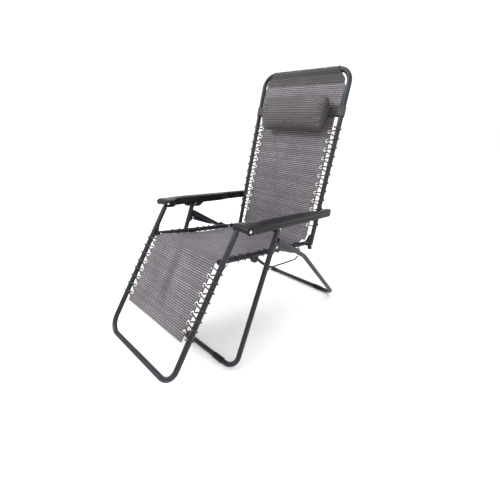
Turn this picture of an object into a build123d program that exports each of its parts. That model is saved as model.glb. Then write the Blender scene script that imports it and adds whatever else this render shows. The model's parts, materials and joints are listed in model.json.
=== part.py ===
from build123d import *
import os
from math import sin, cos, tan, radians, degrees, atan2, hypot

# Folding reclining garden chair: steel tube frame, textilene sling laced on
# with elastic cord, moulded armrests that slide on the front legs.
# Row frame: +X to the sitter's right seen from the front camera side, +Y to the
# rear, +Z up, origin on the floor under the middle of the bounding box.
# All side-view points below are (y, z) in the design frame; YC shifts them.

# ---------------------------------------------------------------- dimensions
YC = 210.23         # design-frame y of the bounding-box centre
RT, WT = 11.0, 1.2  # main tube radius and wall
RB = 3.0            # bolt radius at every pivot
CL = 0.05           # running clearance of bolts in their bores
XS = 214.0          # seat rail half-width
XF = 238.0          # footrest frame half-width
XK = 250.0          # back frame half-width
XA = 282.0          # leg half-width (front and rear legs share a plane)

KNEE = (-60.0, 500.0)     # seat rail / footrest frame
FRONT = (6.0, 624.0)      # footrest frame / armrest
HIP = (501.0, 405.0)      # seat rail / back frame
REAR = (545.0, 570.0)     # back frame / armrest
TILT = (365.0, 428.0)     # seat rail / rear leg
APEX = (175.5, 508.0)     # front leg / rear leg
LOCK = (187.2, 588.0)     # front leg / lock housing
STAYA = (142.0, 421.0)    # stay rod / front leg
STAYB = (352.0, 391.0)    # stay rod hook beside the rear leg

A_FOOT = (-68.0, 13.5)    # front leg floor bar
B_TOP = (186.0, 535.5)    # rear leg upper end
B_BEND = (400.0, 391.0)
B_FOOT = (765.0, 13.5)    # rear leg floor bar
F_LEN = 622.0             # FRONT pivot to footrest bottom bar
K_LEN = 820.0             # HIP pivot to back top bar
R_FLOOR = 62.0            # bend radius of the leg frames at the floor
R_FOOT = 62.0             # bend radius of the footrest frame
R_HEAD = 62.0             # bend radius of the back frame's top corners

FAB_T = 2.6               # sling thickness
FAB_X = 203.0             # sling half-width
EYE_X = 195.0             # eyelet line
LACE_R = 1.8
PITCH = 41.0              # lacing pitch on the back
PITCH_F = 37.5            # lacing pitch on the footrest
PITCH_S = 41.0

os.makedirs("parts", exist_ok=True)


# ------------------------------------------------------------------- helpers
def V(x, y, z):
    return Vector(x, y - YC, z)


def unit(a, b):
    d = hypot(b[0] - a[0], b[1] - a[1])
    return ((b[0] - a[0]) / d, (b[1] - a[1]) / d)


class Side:
    """A side-view frame: s along a direction, n to its left, x lateral."""

    def __init__(self, o, d):
        self.o, self.d = o, d
        self.n = (-d[1], d[0])

    def yz(self, s, n=0.0):
        return (self.o[0] + self.d[0] * s + self.n[0] * n,
                self.o[1] + self.d[1] * s + self.n[1] * n)

    def at(self, x, s, n=0.0):
        y, z = self.yz(s, n)
        return V(x, y, z)

    def plane(self, x=0.0, s=0.0, n=0.0):
        return Plane(origin=self.at(x, s, n),
                     x_dir=(0, self.d[0], self.d[1]), z_dir=(1, 0, 0))

    def coords(self, p):
        v = (p[0] - self.o[0], p[1] - self.o[1])
        return (v[0] * self.d[0] + v[1] * self.d[1],
                v[0] * self.n[0] + v[1] * self.n[1])


def cyl(p0, p1, r):
    d = p1 - p0
    return Part(Solid.make_cylinder(r, d.length, Plane(origin=p0, z_dir=d)).wrapped)


def ring(p0, p1, ro, ri):
    d = p1 - p0
    e = d.normalized() * 1.0
    return cyl(p0, p1, ro) - cyl(p0 - e, p1 + e, ri)


def xcyl(yz, x0, x1, r):
    return cyl(V(x0, *yz), V(x1, *yz), r)


def xring(yz, x0, x1, ro, ri):
    return ring(V(x0, *yz), V(x1, *yz), ro, ri)


def tube(points, radii, ro=RT, wall=WT, solid=False):
    if len(points) == 2:
        path = Line(points[0], points[1])
    else:
        path = FilletPolyline(*points, radius=radii)
    pl = Plane(origin=path @ 0, z_dir=path % 0)
    prof = Circle(ro) if solid else Circle(ro) - Circle(ro - wall)
    return sweep(pl * prof, path=path)


def slab(side, pts, x0, x1):
    """A plate from a closed (s, n) polygon, between two lateral positions."""
    sk = make_face(Polyline(*[(p[0], p[1]) for p in pts], close=True))
    return extrude(side.plane(x0) * sk, amount=x1 - x0)


def mir(o):
    return mirror(o, about=Plane.YZ)


NODES = {}


def put(name, *shapes):
    solids = []
    for sh in shapes:
        solids += list(sh.solids())
    NODES[name] = solids


def both(name, *shapes):
    """The same piece on both sides of the chair."""
    put(name, *shapes, *[mir(s) for s in shapes])


def bolt(yz, x0, x1, r=RB, rh=6.0, hh=2.4, xin=True, xout=True):
    """Cross bolt with low domed heads; x0 and x1 are the inner head faces."""
    b = xcyl(yz, x0 - (hh if xin else 0), x1 + (hh if xout else 0), r)
    if xin:
        b = b + dome(yz, x0, -1, rh, hh)
    if xout:
        b = b + dome(yz, x1, 1, rh, hh)
    return b


def dome(yz, x, sgn, rh, hh):
    h1 = hh * 0.45
    a = xcyl(yz, min(x, x + sgn * h1), max(x, x + sgn * h1), rh)
    c = Part(Solid.make_cone(rh, rh * 0.55, hh - h1,
                             Plane(origin=V(x + sgn * h1, *yz), z_dir=(sgn, 0, 0))).wrapped)
    return a + c


# ------------------------------------------------------------- side frames
ad = unit(A_FOOT, LOCK)                 # front leg, upwards
LEG = Side(A_FOOT, ad)
bd1 = unit(B_TOP, B_BEND)
BUP = Side(B_TOP, bd1)                  # rear leg upper run, downwards to the rear
sd = unit(KNEE, HIP)
SEAT = Side(KNEE, sd)                   # seat rail, knee to hip
FD = (-0.5676, -0.8233)
FOOT = Side(FRONT, FD)                  # footrest frame, downwards; n to the rear-down
KD = (0.2605, 0.9655)
BACK = Side(HIP, KD)                    # back frame, upwards; n to the front
ud = unit(FRONT, REAR)
ARM = Side(FRONT, ud)                   # armrest, front to rear; n up
uQ, wQ = ARM.coords(LOCK)
S_LEN = hypot(HIP[0] - KNEE[0], HIP[1] - KNEE[1])

# ----------------------------------------------------------- front leg frame
LEG_LEN = hypot(LOCK[0] - A_FOOT[0], LOCK[1] - A_FOOT[1])
leg_top = LEG_LEN + 11.0
front = tube([LEG.at(XA, leg_top), LEG.at(XA, 0), LEG.at(-XA, 0), LEG.at(-XA, leg_top)],
             R_FLOOR)
as_, an_ = LEG.coords(APEX)             # an_ negative: behind the leg
ss_, sn_ = LEG.coords(STAYA)


def leg_ears():
    # two ears behind the leg tube hold the rear leg's gusset plate
    out = None
    for x0, x1 in ((XA - 6.6, XA - 4.1), (XA + 4.1, XA + 6.6)):
        pl = slab(LEG, [(as_ - 26, -9), (as_ - 9, an_), (as_ + 9, an_), (as_ + 26, -9)], x0, x1)
        pl = pl + xcyl(APEX, x0, x1, 9.0)
        out = pl if out is None else out + pl
    out = out - xcyl(APEX, XA - 20, XA + 20, RB + CL)
    # a small eye plate for the stay rod
    ey = slab(LEG, [(ss_ - 14, -9), (ss_ - 5, sn_), (ss_ + 5, sn_), (ss_ + 14, -9)], XA - 1.6, XA + 1.6)
    ey = ey + xcyl(STAYA, XA - 1.6, XA + 1.6, 6.2)
    ey = ey - xcyl(STAYA, XA - 20, XA + 20, RB + CL)
    out = out + ey
    return out - cyl(LEG.at(XA, 20), LEG.at(XA, leg_top), RT - WT + 0.3)


ears = leg_ears()
front = front + ears + mir(ears)
hole = xcyl(LOCK, 200, 320, RB + CL)
front = front - hole - mir(hole)
put("front_leg_frame", front)
both("front_leg_caps", cyl(LEG.at(XA, leg_top + 2.2), LEG.at(XA, leg_top), RT - 0.2)
     + cyl(LEG.at(XA, leg_top), LEG.at(XA, leg_top - 4), RT - WT - 0.05))


def foot_sleeve(side, x0, x1):
    y, z = side.yz(0)
    return xring((y, z), x0, x1, 13.5, RT + 0.02)


both("front_foot_sleeves", foot_sleeve(LEG, 150, 205))

# ------------------------------------------------------------ rear leg frame
rear_pts = [V(XA, *B_TOP), V(XA, *B_BEND), V(XA, *B_FOOT),
            V(-XA, *B_FOOT), V(-XA, *B_BEND), V(-XA, *B_TOP)]
rear = tube(rear_pts, [150.0, R_FLOOR, R_FLOOR, 150.0])
bs, bn = BUP.coords(APEX)               # apex in the rear leg frame
gus = slab(BUP, [(1, 4), (bs - 7, bn + 2), (bs + 2, bn - 6.8), (bs + 16, bn - 7.5),
                 (92, -26), (130, -20), (158, -12), (158, 4)], XA - 3.0, XA + 3.0)
gus = gus + xcyl(APEX, XA - 3.0, XA + 3.0, 9.0)
gus = gus - xcyl(APEX, XA - 20, XA + 20, RB + CL)
gus = gus - cyl(BUP.at(XA, -30), BUP.at(XA, 240), RT - WT + 0.3)
ts, tn = BUP.coords(TILT)
plate = slab(BUP, [(ts - 34, -4), (ts - 11, tn + 6), (ts, tn + 11), (ts + 11, tn + 6), (ts + 30, -4)],
             XA - 16.0, XA - 10.0)
plate = plate - xcyl(TILT, 200, 300, 4.0 + CL)
plate = plate - cyl(BUP.at(XA, 120), BUP.at(XA, 262), RT - WT + 0.3)
rear = rear + gus + mir(gus) + plate + mir(plate)
put("rear_leg_frame", rear)
both("rear_leg_caps", cyl(BUP.at(XA, -2.2), BUP.at(XA, 0), RT - 0.2)
     + cyl(BUP.at(XA, 0), BUP.at(XA, 4), RT - WT - 0.05))
BREAR = Side(B_FOOT, unit(B_FOOT, B_BEND))
both("rear_foot_sleeves", foot_sleeve(BREAR, 150, 205))

both("leg_pivot_rivets", bolt(APEX, XA - 6.9, XA + 6.9, rh=5.5))

# ----------------------------------------------------------------- stay rods
STAY = Side(STAYA, unit(STAYA, STAYB))
sl = hypot(STAYB[0] - STAYA[0], STAYB[1] - STAYA[1])
xs_ = XA - 5.4
rod = tube([STAY.at(xs_, 0), STAY.at(xs_, sl - 22), STAY.at(xs_, sl, 13)], 25.0, ro=3.4, solid=True)
eye = xcyl(STAYA, xs_ - 3.0, xs_ + 3.0, 6.4) - xcyl(STAYA, xs_ - 9, xs_ + 9, RB + CL)
rod = (rod - xcyl(STAYA, xs_ - 9, xs_ + 9, 5.5)) + eye
both("stay_rods", rod)
both("stay_rivets", bolt(STAYA, xs_ - 3.4, XA + 1.9, rh=5.0))

# ---------------------------------------------------------------- seat rails
tail = [SEAT.at(XS, -14), SEAT.at(XS, S_LEN + 20), SEAT.at(XS, S_LEN + 48, 26)]
rail = tube(tail, 30.0)
for p, r in ((KNEE, RB), (HIP, RB), (TILT, 4.0)):
    rail = rail - xcyl(p, 190, 240, r + CL)
put("seat_rail_right", rail)
put("seat_rail_left", mir(rail))
e_dir = (tail[2] - tail[1]).normalized()
f_dir = (tail[1] - tail[0]).normalized()
caps = [cyl(tail[2] + e_dir * 6, tail[2], RT + 0.6) + cyl(tail[2], tail[2] - e_dir * 5, RT - WT - 0.05),
        cyl(tail[0] - f_dir * 2, tail[0], RT) + cyl(tail[0], tail[0] + f_dir * 5, RT - WT - 0.05)]
both("seat_rail_caps", *caps)

CB_S, CB_N = 186.0, -20.5               # cross bar under the seat
put("seat_cross_bar", ring(SEAT.at(-(XS + 6), CB_S, CB_N), SEAT.at(XS + 6, CB_S, CB_N), 8.0, 7.0))
clip = slab(SEAT, [(CB_S - 17, -4), (CB_S + 15, -4), (CB_S + 18, -18), (CB_S + 9, -33),
                   (CB_S - 8, -33), (CB_S - 20, -14)], XS - 9, XS + 9.5)
clip = clip - cyl(SEAT.at(XS, CB_S - 60), SEAT.at(XS, CB_S + 60), RT + 0.03)
clip = clip - cyl(SEAT.at(XS - 20, CB_S, CB_N), SEAT.at(XS + 6.02, CB_S, CB_N), 8.03)
clip = max(clip.solids(), key=lambda q: q.volume)
both("cross_bar_clips", Part(clip.wrapped))

both("tilt_bolts", bolt(TILT, XS - RT - 0.3, XA - 10.2, r=4.0, rh=7.0, xout=False))
both("tilt_spacers", xring(TILT, XS + RT + 0.4, XA - 16.4, 7.5, 4.02))

# ------------------------------------------------------------- footrest frame
FT = 18.0                                # crimped tongue reaches the pivot
foot = tube([FOOT.at(XF, FT), FOOT.at(XF, F_LEN), FOOT.at(-XF, F_LEN), FOOT.at(-XF, FT)], R_FOOT)


def foot_end():
    t = slab(FOOT, [(0, -7), (FT + 16, -7), (FT + 16, 7), (0, 7)], XF - 4.5, XF + 4.5)
    t = t + xcyl(FRONT, XF - 4.5, XF + 4.5, 7.0)
    t = t + cyl(FOOT.at(XF, FT), FOOT.at(XF, FT + 2), RT - 0.4)
    t = t - xcyl(FRONT, 200, 300, RB + CL)
    ks, kn = FOOT.coords(KNEE)
    g = slab(FOOT, [(ks - 52, 8), (ks - 12, kn + 3), (ks + 12, kn + 3), (ks + 52, 8)], XF - 2.5, XF + 2.5)
    g = g + xcyl(KNEE, XF - 2.5, XF + 2.5, 10.0)
    g = g - xcyl(KNEE, 200, 300, RB + CL) - cyl(FOOT.at(XF, 40), FOOT.at(XF, 300), RT - WT + 0.3)
    return t + g


fe = foot_end()
foot = foot + fe + mir(fe)
put("footrest_frame", foot)
both("knee_bolts", bolt(KNEE, XS - RT - 0.3, XF + 2.9, rh=5.2))
both("knee_bushes", xring(KNEE, XS + RT + 0.3, XF - 2.9, 4.6, RB + 0.02))

# ----------------------------------------------------------------- back frame
backf = tube([BACK.at(XK, -16), BACK.at(XK, K_LEN), BACK.at(-XK, K_LEN), BACK.at(-XK, -16)], R_HEAD)
for p in (HIP, REAR):
    h = xcyl(p, 200, 300, RB + CL) if p == HIP else xcyl(p, 200, 300, RB)
    backf = backf - h - mir(h)
put("back_frame", backf)
both("back_frame_caps", cyl(BACK.at(XK, -18.5), BACK.at(XK, -16), RT)
     + cyl(BACK.at(XK, -16), BACK.at(XK, -11), RT - WT - 0.05))
both("hip_bolts", bolt(HIP, XS - RT - 0.3, XK + RT + 0.3, rh=6.0))
both("hip_spacers", xring(HIP, XS + RT + 0.4, XK - RT - 0.4, 7.5, RB + 0.02))
both("arm_rear_rivets", bolt(REAR, XK - RT, XK + RT + 0.02, r=RB - 0.02, rh=6.0, hh=2.0))


# ------------------------------------------------------- sling and its lacing
def eyelet(side, s, n, x=EYE_X):
    a, b = side.at(x, s, n - FAB_T / 2 - 0.8), side.at(x, s, n - FAB_T / 2)
    c, d = side.at(x, s, n + FAB_T / 2), side.at(x, s, n + FAB_T / 2 + 0.8)
    body = cyl(a, b, 5.6) + cyl(c, d, 5.6) + cyl(a, d, 3.6)
    e = (d - a).normalized()
    return body - cyl(a - e, d + e, 2.6)


def panel(side, pts_top, holes, x1=FAB_X):
    """Panel from its centre line [(s, n), ...]; thickness FAB_T, straight facets."""
    h = FAB_T / 2
    up = [(s, n + h) for s, n in pts_top]
    dn = [(s, n - h) for s, n in reversed(pts_top)]
    p = slab(side, up + dn, -x1, x1)
    for s, n in holes:
        for x in (EYE_X, -EYE_X):
            e = side.at(x, s, n + 8) - side.at(x, s, n - 8)
            p = p - cyl(side.at(x, s, n - 8), side.at(x, s, n + 8), 3.62)
    return p


def lace(side, s0, pitch, count, xt, n_eye=0.0, reach=None):
    """Elastic cord: up through an eyelet, over the tube, round it and back
    under to the next eyelet, tied off at both ends."""
    rr = RT + LACE_R + 0.35
    e = EYE_X + 1.0
    g = FAB_T / 2 + 0.8 + LACE_R + 0.4
    pts, rad = [], []
    s = s0
    pts.append(side.at(e - 0.4, s, n_eye - g - 3.0))
    for i in range(count):
        pts.append(side.at(e - 0.5, s, n_eye + g + 0.2))
        rad.append(2.6)
        pts.append(side.at(xt + rr, s + pitch * 0.20, 17.4))
        rad.append(rr - 1.2)
        pts.append(side.at(xt + rr, s + pitch * 0.42, -17.4))
        rad.append(rr - 1.2)
        s += pitch
        if i < count - 1:
            pts.append(side.at(e - 0.5, s, n_eye - g - 0.2))
            rad.append(2.6)
    pts.append(side.at(e + 2.0, s - pitch * 0.35, n_eye - g - 1.0))
    path = FilletPolyline(*pts, radius=rad)
    pl = Plane(origin=path @ 0, z_dir=path % 0)
    sh = sweep(pl * Circle(LACE_R), path=path)
    want = 3.14159265 * LACE_R ** 2 * path.length
    print("lace", round(path.length), "mm, volume ratio", round(sh.volume / want, 4))
    return sh


# back panel: from above the hip to the sleeve round the top bar
BACK_HOLES = [(95 + PITCH * i, 0.0) for i in range(15)]
bp = panel(BACK, [(26, 0), (K_LEN - 14.2, 0)], BACK_HOLES)
bt = BACK.yz(K_LEN)
sleeve = xring(bt, -184, 184, RT + 2.6, RT + 0.1)
bp = bp + (slab(BACK, [(K_LEN - 16, -FAB_T / 2), (K_LEN - 11.6, -FAB_T / 2),
                       (K_LEN - 11.6, FAB_T / 2), (K_LEN - 16, FAB_T / 2)], -184, 184)
           - xcyl(bt, -260, 260, RT + 0.1)) + sleeve
trim = slab(BACK, [(K_LEN - 76, -20), (K_LEN + 60, -20), (K_LEN + 60, 20), (K_LEN - 76, 20)], 184, 260)
bp = bp - trim - mir(trim)
put("back_fabric", bp)
both("back_eyelets", *[eyelet(BACK, s, n) for s, n in BACK_HOLES])
lb = lace(BACK, BACK_HOLES[0][0], PITCH, 15, XK)
both("back_lacing", lb)

# lower ties of the back panel, to the back tubes just above the hip
tie = tube([BACK.at(FAB_X + 1.0, 44, 0), BACK.at(XK - RT - 0.4, 40, 0)], None, ro=LACE_R, solid=True)
tie2 = tube([BACK.at(FAB_X + 1.0, 52, 0), BACK.at(XK - RT - 0.4, 50, 0)], None, ro=LACE_R, solid=True)
both("back_lower_ties", tie, tie2)

# footrest panel: knee to the lower hem
FOOT_HOLES = [(168 + PITCH_F * i, 0.0) for i in range(8)]
ks0, kn0 = FOOT.coords(KNEE)
hem_s = 470.0
fp = panel(FOOT, [(ks0 - 2, 0), (hem_s, 0)], FOOT_HOLES)
put("footrest_fabric", fp)
both("footrest_eyelets", *[eyelet(FOOT, s, n) for s, n in FOOT_HOLES])
lf = lace(FOOT, FOOT_HOLES[0][0], PITCH_F, 8, XF)
both("footrest_lacing", lf)

# seat panel: a shallow sag between the rails
SAG = 13.0
seat_line = [(12 + (S_LEN - 12 - 26) * t, 2.0 - SAG * 4 * t * (1 - t)) for t in
             (0, .125, .25, .375, .5, .625, .75, .875, 1)]


def seat_n(s):
    t = (s - 12) / (S_LEN - 38)
    k = min(7, int(t * 8))
    a, b = seat_line[k], seat_line[k + 1]
    return a[1] + (b[1] - a[1]) * (s - a[0]) / (b[0] - a[0])


SEAT_FRONT = [62.0, 103.0, 144.0]        # the cross bar's clip sits between the two cords
SEAT_REAR = [214.0 + 36.5 * i for i in range(6)]
SEAT_LAST = [456.0, 494.0]                # behind the bolts to the rear legs
SEAT_HOLES = SEAT_FRONT + SEAT_REAR + SEAT_LAST
sp = panel(SEAT, seat_line, [], x1=199.5)
for s in SEAT_HOLES:
    for x in (EYE_X - 4, -EYE_X + 4):
        sp = sp - cyl(SEAT.at(x, s, -30), SEAT.at(x, s, 30), 3.7)
put("seat_fabric", sp)


def seat_eyelet(s):
    n = seat_n(s)
    x = EYE_X - 4
    d = Side(SEAT.yz(s, n), unit(SEAT.yz(s - 4, seat_n(s - 4)), SEAT.yz(s + 4, seat_n(s + 4))))
    top = cyl(d.at(x, 0, FAB_T / 2 + 0.35), d.at(x, 0, FAB_T / 2 + 1.15), 5.6)
    bot = cyl(d.at(x, 0, -FAB_T / 2 - 1.15), d.at(x, 0, -FAB_T / 2 - 0.35), 5.6)
    barrel = cyl(d.at(x, 0, -FAB_T / 2 - 1.15), d.at(x, 0, FAB_T / 2 + 1.15), 3.6)
    return top + bot + barrel - cyl(d.at(x, 0, -9), d.at(x, 0, 9), 2.6)


both("seat_eyelets", *[seat_eyelet(s) for s in SEAT_HOLES])


def seat_lace(holes):
    rr = RT + LACE_R + 0.35
    e = EYE_X - 3.4
    pts, rad = [], []
    for i, s in enumerate(holes):
        n = seat_n(s)
        g = FAB_T / 2 + 1.2 + LACE_R + 0.5
        if i == 0:
            pts.append(SEAT.at(e, s, n - g - 3))
        pts.append(SEAT.at(e, s, n + g))
        rad.append(2.4)
        pts.append(SEAT.at(XS - 7, s + 3, rr + 0.2)); rad.append(8.0)
        pts.append(SEAT.at(XS + rr, s + PITCH_S * 0.22, rr)); rad.append(rr - 1.2)
        pts.append(SEAT.at(XS + rr, s + PITCH_S * 0.42, -rr)); rad.append(rr - 1.2)
        if i < len(holes) - 1:
            s2 = holes[i + 1]
            n2 = seat_n(s2)
            pts.append(SEAT.at(XS - 8, s2 - 5, -rr - 3.5)); rad.append(6.0)
            pts.append(SEAT.at(e, s2, min(n2 - g - 2, -rr - 1.5))); rad.append(2.4)
    pts.append(SEAT.at(XS - 6, holes[-1] + PITCH_S * 0.5, -rr - 0.4))
    path = FilletPolyline(*pts, radius=rad)
    pl = Plane(origin=path @ 0, z_dir=path % 0)
    sh = sweep(pl * Circle(LACE_R), path=path)
    print("seat lace", round(path.length), "mm, volume ratio",
          round(sh.volume / (3.14159265 * LACE_R ** 2 * path.length), 4))
    return sh


both("seat_lacing", seat_lace(SEAT_FRONT), seat_lace(SEAT_REAR), seat_lace(SEAT_LAST))

# ------------------------------------------------------------------ armrests
XI0, XI1, XI2, XO = 221.5, 252.5, 266.5, 299.5     # inner and outer outlines
A_END = 596.0


def armrest():
    prof = [(0, 16), (60, 17), (160, 17), (420, 14.5), (A_END - 14, 13.0), (A_END - 4, 9.5),
            (A_END, 2), (A_END - 2, -6), (A_END - 12, -12.0), (430, -12.5), (62, -14.5), (30, -15.4), (0, -16)]
    body = slab(ARM, prof, XI0, XO) + xcyl(FRONT, XI0, XO, 16.0)
    # plan outline, cut along the inner edge and round the rear corners
    top = Plane(origin=ARM.at(0, 0, 60), x_dir=(0, ud[0], ud[1]), z_dir=(0, -ud[1], ud[0]))
    plan = [(-30, XI0), (30, XI0), (64, XI1), (350, XI1), (420, XI2), (A_END - 14, XI2 + 1), (A_END + 4, XI2 + 12),
            (A_END + 4, XO - 12), (A_END - 14, XO - 1), (A_END - 60, XO), (-30, XO)]
    sk = make_face(Polyline(*[(a, -b) for a, b in plan], close=True))
    keep = extrude(top * sk, amount=-120)
    body = body & keep
    # hollows, open below
    t, k = 3.0, 13.0
    cuts = [slab(ARM, [(22, -40), (50, -40), (50, k), (22, k)], XI0 + 32, XO - t),
            slab(ARM, [(55, -40), (325, -40), (325, k), (55, k)], XI1 + t, XO - t),
            slab(ARM, [(330, -40), (342, -40), (342, 11), (330, 11)], XI1 + t, XO - t),
            slab(ARM, [(347, -40), (A_END - 18, -40), (A_END - 18, 9.0), (347, 10.0)], XI2 + t, XO - t)]
    # slot for the footrest frame's end, closed over the top and the front
    ang = [159 + i * (345 - 159) / 8 for i in range(9)]
    sect = [(0, 0)] + [(26 * cos(radians(a)), 26 * sin(radians(a))) for a in ang]
    slot = (xcyl(FRONT, XF - 12.5, XF + 12.5, 12.5)
            + slab(ARM, sect, XF - 12.5, XF + 12.5)
            + slab(ARM, [(0, -40), (60, -40), (60, 12.5), (0, 12.5)], XF - 12.5, XF + 12.5))
    for c in cuts + [slot]:
        body = body - c
    body = body - xcyl(FRONT, 200, 320, RB + CL)
    # long shallow groove on the outer side
    body = body - slab(ARM, [(70, -3.2), (560, -1.8), (560, 1.2), (70, 0.0)], XO - 0.9, XO + 2)
    return body


arm = armrest()
put("armrest_right", arm)
put("armrest_left", mir(arm))
XR = 264.0
both("guide_rods", cyl(ARM.at(XR, 55, 0), ARM.at(XR, 325, 0), 3.0))
both("arm_front_bolts", bolt(FRONT, XI0 - 0.3, XO + 0.3, rh=6.0))

# -------------------------------------------------------------- lock housings
LX0, LX1 = 257.6, 270.4


def lock_housing():
    p = [(uQ - 24, wQ - 1), (uQ - 13, wQ - 17), (uQ + 26, wQ - 17), (uQ + 50, wQ + 1.0),
         (uQ + 22, wQ + 3.0), (uQ + 22, 6.0), (uQ - 22, 6.0), (uQ - 22, wQ + 3.0)]
    b = slab(ARM, p, LX0, LX1)
    b = b - slab(ARM, [(uQ - 60, -3.4), (uQ + 80, -3.4), (uQ + 80, 20), (uQ - 60, 20)], XR - 3.3, XR + 3.3)
    b = b - xcyl(LOCK, 200, 320, RB + CL)
    return b - xcyl(LEVER, 200, LX0 + 6, 2.0)


LEVER = ARM.yz(uQ - 12, wQ - 7.5)
lh = lock_housing()
put("lock_housing_right", lh)
put("lock_housing_left", mir(lh))
both("lock_bolts", bolt(LOCK, LX0 - 0.3, XA + RT + 0.3, rh=5.0, hh=2.0))


def lock_lever():
    b = slab(ARM, [(uQ - 12, wQ - 12), (uQ - 34, wQ - 8.5), (uQ - 34, wQ - 0.5), (uQ - 12, wQ - 3)],
             LX0 - 5.4, LX0 - 0.9)
    b = b + xcyl(LEVER, LX0 - 5.4, LX0 - 0.9, 6.5)
    pad = slab(ARM, [(uQ - 58, wQ - 9), (uQ - 30, wQ - 10), (uQ - 30, wQ - 0.2), (uQ - 52, wQ + 0.6),
                     (uQ - 58, wQ - 3)], LX0 - 5.4, LX1 + 2)
    b = b + pad
    return b - xcyl(LEVER, 200, 320, 2.0 + CL)


lv = lock_lever()
put("lock_lever_right", lv)
put("lock_lever_left", mir(lv))
both("lever_pins", xcyl(LEVER, LX0 - 5.7, LX0 + 5.9, 1.98) + dome(LEVER, LX0 - 5.7, -1, 3.6, 1.2))

# ------------------------------------------------------------ head pillow
PS0, PN, PR_S, PR_N, PHW = 612.0, 41.0, 72.0, 38.0, 172.0


def pillow():
    secs = []
    for x, k in ((-PHW, 0.70), (-PHW + 14, 0.93), (-60, 1.0), (60, 1.0), (PHW - 14, 0.93), (PHW, 0.70)):
        pl = BACK.plane(x, PS0, PN)
        secs.append(pl * Ellipse(PR_S * k, PR_N * k))
    return loft(secs, ruled=True)


put("headrest_pillow", pillow())


BS0, BS1 = 622.0, 652.0                  # the band along the back


def band():
    # one elastic band: from the pillow's ends round both back tubes, outside
    # the lacing, and across behind the sling
    hx, hn, w = 266.2, 20.6, 1.2
    pl = Plane(origin=BACK.at(0, BS0), x_dir=(1, 0, 0), z_dir=(0, KD[0], KD[1]))
    sk = RectangleRounded(2 * hx, 2 * hn, 14) - RectangleRounded(2 * hx - 2 * w, 2 * hn - 2 * w, 14 - w)
    b = extrude(pl * sk, amount=BS1 - BS0)
    return b - slab(BACK, [(600, 3), (700, 3), (700, 60), (600, 60)], -PHW - 0.3, PHW + 0.3)


put("pillow_strap", band())

# --------------------------------------------------------------------- write
lo_, hi_ = [1e9] * 3, [-1e9] * 3
for name, solids in NODES.items():
    solids = [Solid(s.wrapped) if not isinstance(s, Solid) else s for s in solids]
    comp = solids[0] if len(solids) == 1 else Compound(children=solids)
    bb = comp.bounding_box()
    for i, (a, b) in enumerate(zip(bb.min, bb.max)):
        lo_[i], hi_[i] = min(lo_[i], a), max(hi_[i], b)
    export_step(comp, f"parts/{name}.step")
print("nodes", len(NODES), "box", [round(v, 2) for v in lo_], [round(v, 2) for v in hi_],
      "y centre off by", round((lo_[1] + hi_[1]) / 2, 3))
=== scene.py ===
import json
import math
import bpy
import bmesh
import numpy as np
from mathutils import Vector, Matrix


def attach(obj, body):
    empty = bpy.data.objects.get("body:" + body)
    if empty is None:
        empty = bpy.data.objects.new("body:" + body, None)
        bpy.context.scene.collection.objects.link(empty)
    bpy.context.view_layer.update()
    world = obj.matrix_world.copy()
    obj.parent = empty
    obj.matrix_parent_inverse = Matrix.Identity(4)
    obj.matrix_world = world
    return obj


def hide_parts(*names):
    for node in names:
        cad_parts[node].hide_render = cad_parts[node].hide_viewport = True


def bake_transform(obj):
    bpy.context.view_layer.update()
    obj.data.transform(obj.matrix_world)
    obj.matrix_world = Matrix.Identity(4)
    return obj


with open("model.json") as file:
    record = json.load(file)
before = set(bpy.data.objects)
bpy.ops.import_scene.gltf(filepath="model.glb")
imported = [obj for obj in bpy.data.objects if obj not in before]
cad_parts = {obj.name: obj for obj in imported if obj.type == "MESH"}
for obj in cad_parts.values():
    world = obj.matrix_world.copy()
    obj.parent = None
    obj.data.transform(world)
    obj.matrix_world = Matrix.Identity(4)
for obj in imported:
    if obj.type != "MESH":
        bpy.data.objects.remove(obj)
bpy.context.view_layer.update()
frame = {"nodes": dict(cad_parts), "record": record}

N = frame["nodes"]
YC = 210.23


# ------------------------------------------------------------------ geometry
def unit(a, b):
    d = math.hypot(b[0] - a[0], b[1] - a[1])
    return ((b[0] - a[0]) / d, (b[1] - a[1]) / d)


class Side:
    """A side plane's own axes: s along the member, n across it, x across the chair, in mm."""

    def __init__(self, o, d):
        self.o, self.d, self.m = o, d, (-d[1], d[0])

    def at(self, x, s, n=0.0):
        return Vector((x / 1000, (self.o[0] + s * self.d[0] + n * self.m[0] - YC) / 1000,
                       (self.o[1] + s * self.d[1] + n * self.m[1]) / 1000))


KNEE, FRONT, HIP, REAR = (-60.0, 500.0), (6.0, 624.0), (501.0, 405.0), (545.0, 570.0)
SEAT = Side(KNEE, unit(KNEE, HIP))
BACK = Side(HIP, (.2605, .9655))
FOOT = Side(FRONT, (-.5676, -.8233))
ARM = Side(FRONT, unit(FRONT, REAR))
XS, XF, XK, XA, RT = 214.0, 238.0, 250.0, 282.0, 11.0


def new_mesh(name, verts, faces, smooth=True):
    me = bpy.data.meshes.new(name)
    me.from_pydata([tuple(v) for v in verts], [], faces)
    me.update()
    ob = bpy.data.objects.new(name, me)
    bpy.context.scene.collection.objects.link(ob)
    if smooth:
        me.shade_smooth()
    return ob


def apply_mods(ob):
    dg = bpy.context.evaluated_depsgraph_get()
    me = bpy.data.meshes.new_from_object(ob.evaluated_get(dg), preserve_all_data_layers=True, depsgraph=dg)
    ob.modifiers.clear()
    ob.data = me
    return ob


def grid_faces(nu, nv, wrap=False):
    f = []
    for i in range(nu - 1):
        for j in range(nv if wrap else nv - 1):
            k = (j + 1) % nv
            f.append((i * nv + j, i * nv + k, (i + 1) * nv + k, (i + 1) * nv + j))
    return f


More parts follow.
